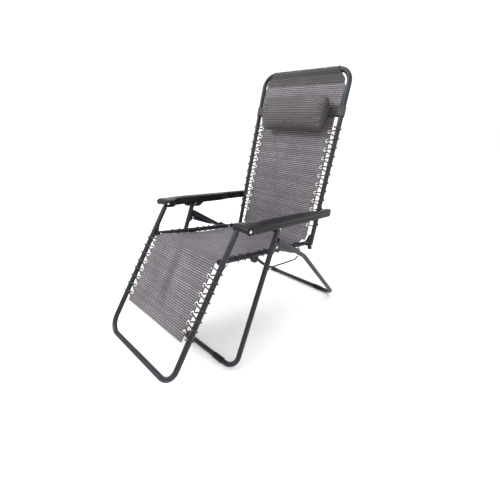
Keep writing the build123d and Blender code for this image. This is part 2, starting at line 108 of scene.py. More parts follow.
def catmull(p, t):
    """A smooth curve through the rows of p at parameter t in 0..1."""
    p = np.asarray(p, float)
    n = len(p) - 1
    t = np.clip(np.asarray(t, float), 0, 1) * n
    i = np.minimum(t.astype(int), n - 1)
    u = (t - i)[:, None]
    a, b, c, d = p[np.maximum(i - 1, 0)], p[i], p[i + 1], p[np.minimum(i + 2, n)]
    return .5 * ((2 * b) + (c - a) * u + (2 * a - 5 * b + 4 * c - d) * u ** 2 + (3 * b - a - 3 * c + d) * u ** 3)


def tube_mesh(name, pts, r, seg=10, closed=False):
    """A round cord along points in metres; r is one radius or one for each point."""
    p = np.asarray([tuple(q) for q in pts], float)
    r = np.broadcast_to(np.asarray(r, float), (len(p),))
    t = np.gradient(p, axis=0)
    t /= np.maximum(np.linalg.norm(t, axis=1), 1e-9)[:, None]
    a = np.cross(t[0], (0, 0, 1.0))
    if np.linalg.norm(a) < .1:
        a = np.cross(t[0], (1.0, 0, 0))
    a /= np.linalg.norm(a)
    v = []
    for k in range(len(p)):
        a = a - t[k] * (a @ t[k])
        a /= max(np.linalg.norm(a), 1e-9)
        b = np.cross(t[k], a)
        for j in range(seg):
            w = 2 * math.pi * j / seg
            v.append(p[k] + r[k] * (math.cos(w) * a + math.sin(w) * b))
    f = grid_faces(len(p), seg, True)
    f.append(tuple(range(seg - 1, -1, -1)))
    f.append(tuple((len(p) - 1) * seg + j for j in range(seg)))
    return v, f


def join_meshes(name, parts):
    V, F = [], []
    for v, f in parts:
        o = len(V)
        V += list(v)
        F += [tuple(i + o for i in q) for q in f]
    return new_mesh(name, V, F)


# ----------------------------------------------------------------- materials
class Mat:
    def __init__(self, name):
        self.m = bpy.data.materials.new(name)
        self.m.use_nodes = True
        self.t = self.m.node_tree
        self.t.nodes.clear()
        self.out = self.n("ShaderNodeOutputMaterial")
        self.b = self.n("ShaderNodeBsdfPrincipled")
        self.l(self.b, 0, self.out, 0)
        self.pos = self.n("ShaderNodeTexCoord")

    def n(self, kind, **kw):
        x = self.t.nodes.new(kind)
        for k, v in kw.items():
            setattr(x, k, v)
        return x

    def l(self, a, i, b, j):
        self.t.links.new(a.outputs[i], b.inputs[j])

    def set(self, **kw):
        for k, v in kw.items():
            self.b.inputs[k.replace("_", " ")].default_value = v

    def math(self, op, a, b=None, clamp=False):
        x = self.n("ShaderNodeMath", operation=op, use_clamp=clamp)
        for i, q in enumerate((a, b)):
            if q is None:
                continue
            if isinstance(q, (int, float)):
                x.inputs[i].default_value = q
            else:
                self.t.links.new(q, x.inputs[i])
        return x.outputs[0]

    def noise(self, scale, detail=4.0, rough=.55, vec=None):
        x = self.n("ShaderNodeTexNoise")
        x.inputs["Scale"].default_value = scale
        x.inputs["Detail"].default_value = detail
        x.inputs["Roughness"].default_value = rough
        self.t.links.new(vec if vec is not None else self.pos.outputs["Object"], x.inputs["Vector"])
        return x.outputs["Fac"]

    def ramp(self, fac, stops, interp="LINEAR"):
        x = self.n("ShaderNodeValToRGB")
        x.color_ramp.interpolation = interp
        e = x.color_ramp.elements
        while len(e) < len(stops):
            e.new(.5)
        for k, (p, c) in enumerate(stops):
            e[k].position = p
            e[k].color = (*c, 1) if len(c) == 3 else c
        self.t.links.new(fac, x.inputs[0])
        return x.outputs[0]

    def mix(self, fac, a, b, blend="MIX"):
        x = self.n("ShaderNodeMix", data_type="RGBA", blend_type=blend)
        for i, q in ((0, fac), (6, a), (7, b)):
            if isinstance(q, (int, float)):
                x.inputs[i].default_value = q
            elif isinstance(q, tuple):
                x.inputs[i].default_value = (*q, 1)
            else:
                self.t.links.new(q, x.inputs[i])
        return x.outputs[2]

    def to(self, value, socket):
        self.t.links.new(value, self.b.inputs[socket])

    def bump(self, height, strength, distance, normal=None):
        x = self.n("ShaderNodeBump")
        x.inputs["Strength"].default_value = strength
        x.inputs["Distance"].default_value = distance
        self.t.links.new(height, x.inputs["Height"])
        if normal is not None:
            self.t.links.new(normal, x.inputs["Normal"])
        return x.outputs[0]


def mat_paint():
    m = Mat("frame_paint")  # slate powder coat, worn a little lighter where it is handled
    big = m.noise(22, 5)
    fine = m.noise(900, 3)
    c = m.ramp(big, [(.3, (.0045, .0052, .0095)), (.7, (.010, .0115, .019))])
    m.to(c, "Base Color")
    r = m.math("ADD", m.math("MULTIPLY", m.noise(60, 4), .16), .26)
    m.to(r, "Roughness")
    m.to(m.bump(fine, .22, .0002), "Normal")
    m.set(Metallic=.0, Coat_Weight=.06, Coat_Roughness=.22, Specular_IOR_Level=.30)
    return m.m


def mat_rod():
    m = Mat("rod_paint")
    m.to(m.ramp(m.noise(80, 4), [(.3, (.012, .012, .015)), (.7, (.025, .025, .03))]), "Base Color")
    m.to(m.math("ADD", m.math("MULTIPLY", m.noise(120, 3), .2), .25), "Roughness")
    m.to(m.bump(m.noise(1200, 2), .15, .0002), "Normal")
    m.set(Specular_IOR_Level=.3)
    return m.m


def mat_plastic(name, lo, hi, rough, grain=1400, bump=.25, coat=0.0):
    m = Mat(name)
    m.to(m.ramp(m.noise(35, 5), [(.3, lo), (.7, hi)]), "Base Color")
    m.to(m.math("ADD", m.math("MULTIPLY", m.noise(90, 4), .18), rough), "Roughness")
    v = m.n("ShaderNodeTexVoronoi")
    v.inputs["Scale"].default_value = grain
    m.l(m.pos, "Object", v, "Vector")
    m.to(m.bump(v.outputs["Distance"], bump, .00025), "Normal")
    m.set(Coat_Weight=coat, Coat_Roughness=.25, Specular_IOR_Level=.18)
    return m.m


def mat_steel():
    m = Mat("bright_steel")
    m.to(m.ramp(m.noise(150, 4), [(.3, (.55, .55, .57)), (.7, (.82, .82, .84))]), "Base Color")
    m.to(m.math("ADD", m.math("MULTIPLY", m.noise(300, 4), .25), .16), "Roughness")
    m.set(Metallic=1.0)
    m.to(m.bump(m.noise(700, 3), .12, .0002), "Normal")
    return m.m


def mat_cord():
    m = Mat("elastic_cord")
    w = m.n("ShaderNodeTexWave", wave_type="BANDS", bands_direction="DIAGONAL")
    w.inputs["Scale"].default_value = 420
    w.inputs["Distortion"].default_value = .6
    m.l(m.pos, "Object", w, "Vector")
    m.to(m.ramp(w.outputs["Fac"], [(.2, (.006, .006, .008)), (.9, (.030, .029, .032))]), "Base Color")
    m.to(m.math("ADD", m.math("MULTIPLY", m.noise(400, 3), .2), .55), "Roughness")
    m.to(m.bump(w.outputs["Fac"], .5, .0004), "Normal")
    return m.m


def mat_eyelet():
    m = Mat("eyelet_white")
    m.to(m.ramp(m.noise(120, 4), [(.3, (.66, .66, .65)), (.7, (.80, .80, .79))]), "Base Color")
    m.to(m.math("ADD", m.math("MULTIPLY", m.noise(200, 3), .15), .28), "Roughness")
    m.to(m.bump(m.noise(500, 3), .08, .0003), "Normal")
    return m.m


def mat_weave(name, light, dark, accent, pitch=9.2, painted_crease_shadow=False):
    """Coated mesh: ribs across the sling with dark gaps, broken by warp threads, on the piece's own cloth coordinates (metres)."""
    m = Mat(name)
    a = m.n("ShaderNodeAttribute", attribute_name="cloth")
    sep = m.n("ShaderNodeSeparateXYZ")
    m.l(a, "Vector", sep, 0)
    u, v = sep.outputs[0], sep.outputs[1]
    k = 1000.0 / pitch
    # every second rib is shifted by half a stitch, as in a basket weave
    row = m.math("FLOOR", m.math("MULTIPLY", v, k))
    odd = m.math("MODULO", m.math("ABSOLUTE", row), 2.0)
    un = m.math("ADD", m.math("MULTIPLY", u, k * .80), m.math("MULTIPLY", odd, .5))
    fu = m.math("FRACT", un)
    fv = m.math("FRACT", m.math("MULTIPLY", v, k))
    du = m.math("SUBTRACT", 1.0, m.math("ABSOLUTE", m.math("MULTIPLY", m.math("SUBTRACT", fu, .5), 2.0)))
    dv = m.math("SUBTRACT", 1.0, m.math("ABSOLUTE", m.math("MULTIPLY", m.math("SUBTRACT", fv, .5), 2.0)))
    pu = m.math("POWER", du, .45)
    pv = m.math("POWER", dv, .8)
    h = m.math("MULTIPLY", m.math("ADD", m.math("MULTIPLY", pu, .80), .20), pv)
    # fine yarns in one direction inside each dash
    yarn = m.n("ShaderNodeTexWave", wave_type="BANDS", bands_direction="X")
    yarn.inputs["Scale"].default_value = 210
    m.l(a, "Vector", yarn, "Vector")
    cell = m.n("ShaderNodeTexWhiteNoise", noise_dimensions="2D")
    cx = m.n("ShaderNodeCombineXYZ")
    m.t.links.new(m.math("FLOOR", un), cx.inputs[0])
    m.t.links.new(row, cx.inputs[1])
    m.l(cx, 0, cell, "Vector")
    base = m.mix(m.ramp(h, [(.22, (0, 0, 0)), (.60, (1, 1, 1))]), dark, light)
    base = m.mix(m.math("MULTIPLY", yarn.outputs["Fac"], .30), base, accent)
    band = m.n("ShaderNodeTexNoise", noise_dimensions="1D")
    band.inputs["Scale"].default_value = 42
    band.inputs["Detail"].default_value = 1.5
    m.t.links.new(v, band.inputs["W"])
    base = m.mix(m.ramp(band.outputs["Fac"], [(.42, (.0, .0, .0)), (.62, (.42, .42, .42))]), base, accent)
    varied = m.mix(m.math("MULTIPLY", cell.outputs["Value"], .50), base, accent)
    low = m.noise(7, 3)
    if painted_crease_shadow:
        # painted shade: a darker band down the middle of the footrest, the shadow of a crease in the cloth
        uu = m.math("SUBTRACT", u, m.math("MULTIPLY", m.math("SUBTRACT", v, 1.52), .12))
        a1 = m.math("SUBTRACT", 1.0, m.math("POWER", m.math("MULTIPLY", m.math("ABSOLUTE", uu), 34.0), 2.0), True)
        a2 = m.math("SUBTRACT", 1.0, m.math("POWER", m.math("MULTIPLY", m.math("ABSOLUTE", m.math("SUBTRACT", v, 1.50)), 6.2), 2.0), True)
        varied = m.mix(m.math("MULTIPLY", m.math("MULTIPLY", a1, a2), .42), varied, dark)
    shade = m.ramp(low, [(.3, (.78, .78, .79)), (.7, (1.10, 1.10, 1.11))])
    m.to(m.mix(1.0, varied, shade, "MULTIPLY"), "Base Color")
    m.to(m.math("SUBTRACT", .62, m.math("MULTIPLY", h, .22)), "Roughness")
    n1 = m.bump(h, .75, .0011)
    m.to(m.bump(m.noise(900, 2), .15, .0003, n1), "Normal")
    m.set(Sheen_Weight=.03, Sheen_Roughness=.4, Specular_IOR_Level=.28)
    return m.m


def mat_webbing():
    m = Mat("strap_webbing")
    a = m.n("ShaderNodeAttribute", attribute_name="cloth")
    w = m.n("ShaderNodeTexWave", wave_type="BANDS", bands_direction="X")
    w.inputs["Scale"].default_value = 150
    m.l(a, "Vector", w, "Vector")
    w2 = m.n("ShaderNodeTexWave", wave_type="BANDS", bands_direction="Y")
    w2.inputs["Scale"].default_value = 90
    m.l(a, "Vector", w2, "Vector")
    h = m.math("MULTIPLY", w.outputs["Fac"], w2.outputs["Fac"])
    m.to(m.ramp(h, [(.1, (.035, .031, .031)), (.9, (.115, .100, .095))]), "Base Color")
    m.to(m.math("ADD", m.math("MULTIPLY", m.noise(200, 3), .15), .6), "Roughness")
    m.to(m.bump(h, .5, .0006), "Normal")
    return m.m


def mat_thread():
    m = Mat("stitch_thread")
    m.to(m.ramp(m.noise(900, 2), [(.3, (.10, .09, .085)), (.7, (.20, .18, .17))]), "Base Color")
    m.to(m.math("ADD", m.math("MULTIPLY", m.noise(400, 2), .2), .5), "Roughness")
    return m.m


PAINT = mat_paint()
ROD = mat_rod()
BLACK = mat_plastic("black_plastic", (.006, .006, .007), (.012, .012, .014), .34)
ARMP = mat_plastic("armrest_plastic", (.0035, .0035, .0055), (.0075, .0075, .0105), .24, 1600, .16, .04)
LOCKP = mat_plastic("lock_plastic", (.008, .008, .009), (.016, .016, .018), .36)
STEEL = mat_steel()
CORD = mat_cord()
EYELET = mat_eyelet()
# the footrest part of this cloth gets a painted crease shadow down its middle
WEAVE = mat_weave("sling_textilene", (.300, .268, .292), (.012, .010, .012), (.074, .065, .073), painted_crease_shadow=True)
PILLOWM = mat_weave("pillow_textilene", (.150, .132, .138), (.010, .009, .010), (.045, .039, .042), 7.6)
SLEEVE = mat_weave("sleeve_textilene", (.105, .096, .098), (.008, .007, .008), (.035, .031, .033), 7.6)
WEB = mat_webbing()
THREAD = mat_thread()

by_slot = {"frame_paint": PAINT, "rod_paint": ROD, "black_plastic": BLACK, "armrest_plastic": ARMP,
           "lock_plastic": LOCKP, "bright_steel": STEEL, "sling_textilene": WEAVE,
           "pillow_textilene": PILLOWM, "strap_webbing": WEB, "elastic_cord": CORD, "eyelet_white": EYELET}
for sp in frame["record"]["subparts"]:
    ob = N[sp["node"]]
    ob.data.materials.clear()
    ob.data.materials.append(by_slot[sp["material_slot"]])


def skin(ob, mat):
    ob.data.materials.clear()
    ob.data.materials.append(mat)
    return ob


# -------------------------------------------------------------------- slings
def cloth_coords(ob, uv):
    at = ob.data.attributes.new("cloth", "FLOAT_VECTOR", "POINT")
    at.data.foreach_set("vector", np.asarray(uv, np.float32).ravel())


def sheet_strip(name, line, half, nx, thick=1.1, s0=0.0, wave=None, hem=None):
    """A sling panel: line is a list of (y, z) points in metres down its middle, half gives the half-width in
    metres at a share 0..1 of its length. Two skins a thread's thickness apart, closed at the edges."""
    line = np.asarray(line, float)
    seg = np.linalg.norm(np.diff(line, axis=0), axis=1)
    cum = np.r_[0, np.cumsum(seg)]
    L = cum[-1]
    tan = np.gradient(line, axis=0)
    tan /= np.linalg.norm(tan, axis=1)[:, None]
    nor = np.stack([-tan[:, 1], tan[:, 0]], 1)
    us = np.linspace(-1, 1, nx)
    top, bot, uv = [], [], []
    for i in range(len(line)):
        h = half(cum[i] / L)
        for u in us:
            w = wave(u, cum[i] / L) if wave else 0.0
            th = thick / 2000
            if hem and hem(u * h, cum[i], L, h):
                th += .0006
            y, z = line[i] + nor[i] * (w + th)
            top.append((u * h, y, z))
            y, z = line[i] + nor[i] * (w - th)
            bot.append((u * h, y, z))
            uv.append((u * h, s0 + cum[i], 0))
    nv = len(line) * nx
    f = grid_faces(len(line), nx)
    F = [tuple(q) for q in f] + [tuple(i + nv for i in reversed(q)) for q in f]
    edge = [i for i in range(nx)]
    edge += [(k + 1) * nx - 1 for k in range(1, len(line))]
    edge += [(len(line) - 1) * nx + j for j in range(nx - 2, -1, -1)]
    edge += [k * nx for k in range(len(line) - 2, 0, -1)]
    for a, b in zip(edge, edge[1:] + edge[:1]):
        F.append((a, a + nv, b + nv, b))
    ob = new_mesh(name, top + bot, F)
    bm = bmesh.new()
    bm.from_mesh(ob.data)
    bmesh.ops.recalc_face_normals(bm, faces=bm.faces)
    bm.to_mesh(ob.data)
    bm.free()
    ob.data.shade_smooth()
    cloth_coords(ob, uv + uv)
    return ob, L


def yz(side, s, n=0.0):
    p = side.at(0, s, n)
    return (p.y, p.z)


bpy.context.view_layer.update()
# middle line of the whole sling: back from the top down, over the hip, the seat, over the knee, down the footrest
S_LEN = math.hypot(HIP[0] - KNEE[0], HIP[1] - KNEE[1])


def seat_sag(s):
    t = min(1, max(0, (s - 12) / (S_LEN - 38)))
    return 2 - 13 * math.sin(math.pi * t)


back_top = [yz(BACK, s, 1.5 * math.sin(math.pi * (s - 60) / 760) * -3) for s in np.linspace(812, 60, 92)]
hip_pts = [yz(BACK, 60, 0), yz(BACK, 34, 2.5), yz(BACK, 18, 8), yz(SEAT, S_LEN - 26, 7), yz(SEAT, S_LEN - 48, -1.0)]
seat_pts = [yz(SEAT, s, seat_sag(s)) for s in np.linspace(S_LEN - 56, 40, 56)]
knee_pts = [yz(SEAT, 34, seat_sag(34)), yz(SEAT, 14, 1.5), yz(FOOT, 156, -1.5), yz(FOOT, 176, 0)]
foot_pts = [yz(FOOT, s, 0) for s in np.linspace(182, 470, 40)]


def smooth_line(pts, step):
    p = np.asarray(pts, float)
    d = np.r_[0, np.cumsum(np.linalg.norm(np.diff(p, axis=0), axis=1))]
    n = max(4, int(d[-1] / step))
    t = np.linspace(0, d[-1], n)
    idx = np.interp(t, d, np.arange(len(p))) / (len(p) - 1)
    return catmull(p, idx)


def edge_hem(x, s, L, h):
    return h - abs(x) < .020


def back_half(t):
    # nearly the frame's full width above the strap, then narrower where it is laced
    a = min(1, max(0, (t - .185) / .035))
    a = a * a * (3 - 2 * a)
    b = min(1, max(0, (.085 - t) / .055))
    b = b * b * (3 - 2 * b)
    return .2355 * (1 - a) + .2175 * a - .030 * b


def flat_area(ob):
    return sum(p.area for p in ob.data.polygons) / 2


def make_slings():
    got = {}
    hipc = yz(BACK, 22, 6)
    line = smooth_line(back_top + hip_pts[:3], .006)
    ob, L = sheet_strip("back_sling", line, back_half, 61, 1.2, 0,
                        lambda u, t: -.004 * (1 - u * u) * math.sin(math.pi * min(1, t * 1.02)) + .0006 * math.sin(9 * u + 17 * t) * (1 - u * u), edge_hem)
    skin(ob, WEAVE)
    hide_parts("back_fabric")
    s0 = L
    got["back_sling"] = (ob, .437, L)
    line = smooth_line([hip_pts[2], hip_pts[3], hip_pts[4]] + seat_pts + knee_pts[:2], .006)
    ob, L = sheet_strip("seat_sling", line, lambda t: .1995, 61, 1.2, s0,
                        lambda u, t: -.010 * (1 - u * u) * math.sin(math.pi * t) + .0008 * math.sin(7 * u + 13 * t) * (1 - u * u) * math.sin(math.pi * t), edge_hem)
    skin(ob, WEAVE)
    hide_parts("seat_fabric")
    s0 += L
    got["seat_sling"] = (ob, .399, L)

    def crease(u, t):
        a = -.0065 * (1 - u * u) * math.sin(math.pi * t)
        for c, x, d in ((.32, -.10, .0022), (.45, .16, .0018), (.55, -.34, .0020), (.40, .42, .0014)):
            a += d * math.exp(-((u - x - .25 * (t - c)) / .10) ** 2) * math.exp(-((t - c) / .22) ** 2)
        return a
    line = smooth_line([knee_pts[1], knee_pts[2], knee_pts[3]] + foot_pts, .006)
    ob, L = sheet_strip("footrest_sling", line, lambda t: .1995 + .0035 * min(1, t * 8), 61, 1.2, s0, crease, lambda x, s, L, h: h - abs(x) < .020 or L - s < .030)
    skin(ob, WEAVE)
    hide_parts("footrest_fabric")
    got["footrest_sling"] = (ob, .403, L)
    return got


slings = make_slings()
for name, (ob, w, L) in slings.items():
    print("sling", name, round(w, 4), round(L, 4), "area", round(flat_area(ob), 4), "flat", round(w * L, 4))

for name, body in (("back_sling", "back"), ("seat_sling", "seat"), ("footrest_sling", "footrest")):
    ob, w, L = slings[name]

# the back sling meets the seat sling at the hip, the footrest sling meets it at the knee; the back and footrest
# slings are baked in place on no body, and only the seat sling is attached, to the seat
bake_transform(slings["back_sling"][0])
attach(slings["seat_sling"][0], "seat")
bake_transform(slings["footrest_sling"][0])


# -------------------------------------------------------------------- pillow
def pillow_shape():
    """A bolster with gathered ends, across the back at s 612 mm."""
    c_s, c_n, half = 614.0, 46.0, 181.0
    V, F = [], []
    nu, nv = 97, 72
    for i in range(nu):
        t = -1 + 2 * i / (nu - 1)
        a = abs(t)
        k = (1 - a ** 16.0) ** .5 * .96 + .04
        x = half * (1 if t > 0 else -1) * (1 - (1 - a) ** 1.35) if a > 0 else 0.0
        for j in range(nv):
            w = 2 * math.pi * j / nv
            cs, sn = math.cos(w), math.sin(w)
            e = 2.25
            rs = 79 * k * abs(cs) ** (2 / e) * (1 if cs > 0 else -1)
            rn = 40 * k * abs(sn) ** (2 / e) * (1 if sn > 0 else -1)
            V.append(BACK.at(x, c_s + rs, c_n + rn))
    F = grid_faces(nu, nv, True)
    F.append(tuple(range(nv - 1, -1, -1)))
    F.append(tuple((nu - 1) * nv + j for j in range(nv)))
    return V, F


V, F = pillow_shape()
pillow = new_mesh("head_pillow", V, F)
bm = bmesh.new()
bm.from_mesh(pillow.data)
bmesh.ops.recalc_face_normals(bm, faces=bm.faces)
bm.to_mesh(pillow.data)
bm.free()
rm = pillow.modifiers.new("r", "REMESH")
rm.mode = "VOXEL"
rm.voxel_size = .005
apply_mods(pillow)
rest = np.array([v.co for v in pillow.data.vertices], float)
cl = pillow.modifiers.new("c", "CLOTH")
cl.settings.use_pressure = True
cl.settings.uniform_pressure_force = 4.0
cl.settings.quality = 5
cl.settings.mass = .3
cl.settings.tension_stiffness = 15
cl.settings.compression_stiffness = 15
cl.settings.bending_stiffness = .5
cl.settings.effector_weights.gravity = 0
for fr in range(1, 21):
    bpy.context.scene.frame_set(fr)
apply_mods(pillow)
co = np.array([v.co for v in pillow.data.vertices], float)
d = co - rest
ln = np.linalg.norm(d, axis=1)
cap = .006
co = rest + d * np.minimum(1, cap / np.maximum(ln, 1e-9))[:, None]
pillow.data.vertices.foreach_set("co", co.astype(np.float32).ravel())
pillow.data.update()
bpy.context.scene.frame_set(1)
sd = pillow.modifiers.new("s", "SUBSURF")
sd.levels = sd.render_levels = 1
apply_mods(pillow)
co = np.array([v.co for v in pillow.data.vertices], float)
o = np.array(BACK.at(0, 614, 46))
ds = np.array((0, BACK.d[0], BACK.d[1]))
dn = np.array((0, BACK.m[0], BACK.m[1]))
q = co - o
x, s, n = q[:, 0], q @ ds, q @ dn
th = np.arctan2(n / .041, s / .079)
# gathers: folds that run out from the closed ends, and a soft ripple over the middle
end = np.clip((np.abs(x) - .138) / .038, 0, 1)
fold = end * (.0022 * np.sin(th * 13 + 1.3 * np.sin(3 * th)) + .0010 * np.sin(th * 23 + 2))
soft = .0010 * np.sin(x * 60 + 3 * th) * np.sin(2 * th + 1.1) * (1 - end)
rad = np.stack([np.zeros_like(s), s / .079 ** 2, n / .041 ** 2], 1)
rad /= np.maximum(np.linalg.norm(rad, axis=1), 1e-9)[:, None]
g = (fold + soft)
s2, n2 = s + rad[:, 1] * g, n + rad[:, 2] * g
n2 = np.maximum(n2, -.0415)
co = o + np.outer(x + .016, (1, 0, 0)) + np.outer(s2, ds) + np.outer(n2, dn)
pillow.data.vertices.foreach_set("co", co.astype(np.float32).ravel())
pillow.data.update()
pillow.data.shade_smooth()
cloth_coords(pillow, np.stack([x, th * .060, 0 * x], 1))
skin(pillow, PILLOWM)
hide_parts("headrest_pillow")
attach(pillow, "headrest")

# the faces at the closed ends, picked by normals that point along the bolster, take the darker sleeve material
pillow.data.materials.append(SLEEVE)
for f_ in pillow.data.polygons:
    if abs(f_.normal.x) > .80:
        f_.material_index = 1


# ---------------------------------------------------------------- top sleeve
def top_sleeve():
    V, uv = [], []
    nu, nv = 121, 40
    for i in range(nu):
        x = -190 + 380 * i / (nu - 1)
        for j in range(nv):
            w = 2 * math.pi * j / nv
            r = 13.2 + .35 * math.sin(x * .09 + 2 * w) + .25 * math.sin(x * .21 + w)
            if abs(x) > 180:
                r += .5
            V.append(BACK.at(x, 820 + r * math.cos(w) - (1.6 if math.cos(w) < -.5 else 0), r * math.sin(w)))
            uv.append((x / 1000, r * w / 1000, 0))
    ob = new_mesh("top_sleeve", V, grid_faces(nu, nv, True))
    so = ob.modifiers.new("s", "SOLIDIFY")
    so.thickness = .0011
    so.offset = -1
    apply_mods(ob)
    ob.data.shade_smooth()
    co = np.array([v.co for v in ob.data.vertices], float)
    o = np.array(BACK.at(0, 820, 0))
    q = co - o
    cloth_coords(ob, np.stack([q[:, 0], np.arctan2(q @ dn, q @ ds) * .0132, 0 * q[:, 0]], 1))
    return ob


sl = top_sleeve()
skin(sl, SLEEVE)
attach(sl, "back")

# the doubled hem below the bar
line = smooth_line([yz(BACK, 818, 13.4), yz(BACK, 808, 9.0), yz(BACK, 800, 5.0), yz(BACK, 790, 3.0), yz(BACK, 776, 1.8), yz(BACK, 762, 1.5)], .004)
hem, hem_l = sheet_strip("top_hem", line, lambda t: .190 + .038 * min(1, t * 1.35), 61, 1.0, 0)
skin(hem, SLEEVE)
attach(hem, "back")


# ------------------------------------------------------- lacing and eyelets
def lace(side, holes, xe, xt, up, r=3.0, pitch=41.0, rt=11.0):
    w = rt + r + .1
    pts = []
    for i, s_ in enumerate(holes):
        if i == 0:
            pts.append((xe - 1, s_ - 3, -6.5))
        pts.append((xe - .6, s_, 0))
        pts.append((xe + 3.0, s_ + 1.5, 5.2))
        for k_, a_ in enumerate(np.linspace(112, -112, 9)):
            pts.append((xt + w * math.cos(math.radians(a_)), s_ + pitch * (.12 + .044 * k_), w * math.sin(math.radians(a_))))
        if i < len(holes) - 1:
            pts.append((xe + 9, s_ + pitch * .80, -7.5))
            pts.append((xe + .5, holes[i + 1] - 2.5, -6.0))
        else:
            pts.append((xe + 12, s_ + pitch * .66, -7.0))
    out = []
    for sx in (1, -1):
        q = [side.at(sx * a, b, up * c) for a, b, c in pts]
        n = len(q) * 7
        out.append(tube_mesh("l", catmull([tuple(k) for k in q], np.linspace(0, 1, n)), r / 1000, 8))
    return out


def eyelets(side, holes, xe, up, big=6.2, small=2.5):
    out = []
    for sx in (1, -1):
        for s_ in holes:
            V, nu, nv = [], 28, 10
            for i in range(nu):
                a = 2 * math.pi * i / nu
                for j in range(nv):
                    b = 2 * math.pi * j / nv
                    rr = big + small * math.cos(b)
                    V.append(side.at(sx * xe + rr * math.cos(a), s_ + rr * math.sin(a), up * 2.1 * math.sin(b) + (.25 * up)))
            F = grid_faces(nu, nv, True) + [((nu - 1) * nv + j, (nu - 1) * nv + (j + 1) % nv, (j + 1) % nv, j) for j in range(nv)]
            out.append((V, F))
    return out


BH = [95 + 41.0 * i for i in range(12)]
FH = [168 + 37.5 * i for i in range(8)]
for name, side, holes, xe, xt, up, body, pitch, olds in (
        ("back", BACK, BH, 209.0, XK, 1, "back", 41.0, ("back_lacing", "back_eyelets")),
        ("footrest", FOOT, FH, 197.0, XF, -1, "footrest", 37.5, ("footrest_lacing", "footrest_eyelets"))):
    ob = join_meshes(name + "_elastic_lace", lace(side, holes, xe, xt, up, pitch=pitch))
    skin(ob, CORD)
    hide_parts(olds[0])
    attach(ob, body)
    ob = join_meshes(name + "_eyelet_rings", eyelets(side, holes, xe, up))
    skin(ob, EYELET)
    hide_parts(olds[1])
    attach(ob, body)


# --------------------------------------------------------------- head strap
def strap_band():
    """A flat band that runs behind the sling and round both back tubes, and passes the bolster's back."""
    r = 13.6
    path = []
    for x in np.linspace(-240, 240, 61):
        path.append((x, 5.0 + (r - 5.0) * max(0, (abs(x) - 205) / 35) ** 1.5))
    for a in np.linspace(0, math.pi, 14)[1:-1]:
        path.append((XK + r * math.sin(a), r * math.cos(a)))
    for x in np.linspace(240, -240, 61):
        path.append((x, -5.5 - (r - 5.5) * max(0, (abs(x) - 205) / 35) ** 1.5))
    for a in np.linspace(0, math.pi, 14)[1:-1]:
        path.append((-XK - r * math.sin(a), -r * math.cos(a)))
    ss = np.linspace(614, 657, 12)
    V, uv, acc = [], [], 0.0
    for k, (x, n) in enumerate(path):
        if k:
            acc += math.hypot(x - path[k - 1][0], n - path[k - 1][1])
        for s_ in ss:
            sag = 1.6 * math.sin(math.pi * (s_ - 614) / 43) * (1 if n > 0 else -1)
            V.append(BACK.at(x, s_ + 1.2 * math.sin(x * .035), n + sag * (abs(x) < 235)))
            uv.append((acc / 1000, s_ / 1000, 0))
    n_ = len(path)
    F = grid_faces(n_, len(ss)) + [((n_ - 1) * len(ss) + j, (n_ - 1) * len(ss) + j + 1, j + 1, j) for j in range(len(ss) - 1)]
    ob = new_mesh("head_strap", V, F)
    cloth_coords(ob, uv)
    so = ob.modifiers.new("s", "SOLIDIFY")
    so.thickness = .0014
    so.offset = 0
    apply_mods(ob)
    ob.data.shade_smooth()
    return ob


ob = strap_band()
skin(ob, SLEEVE)
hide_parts("pillow_strap")
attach(ob, "headrest")


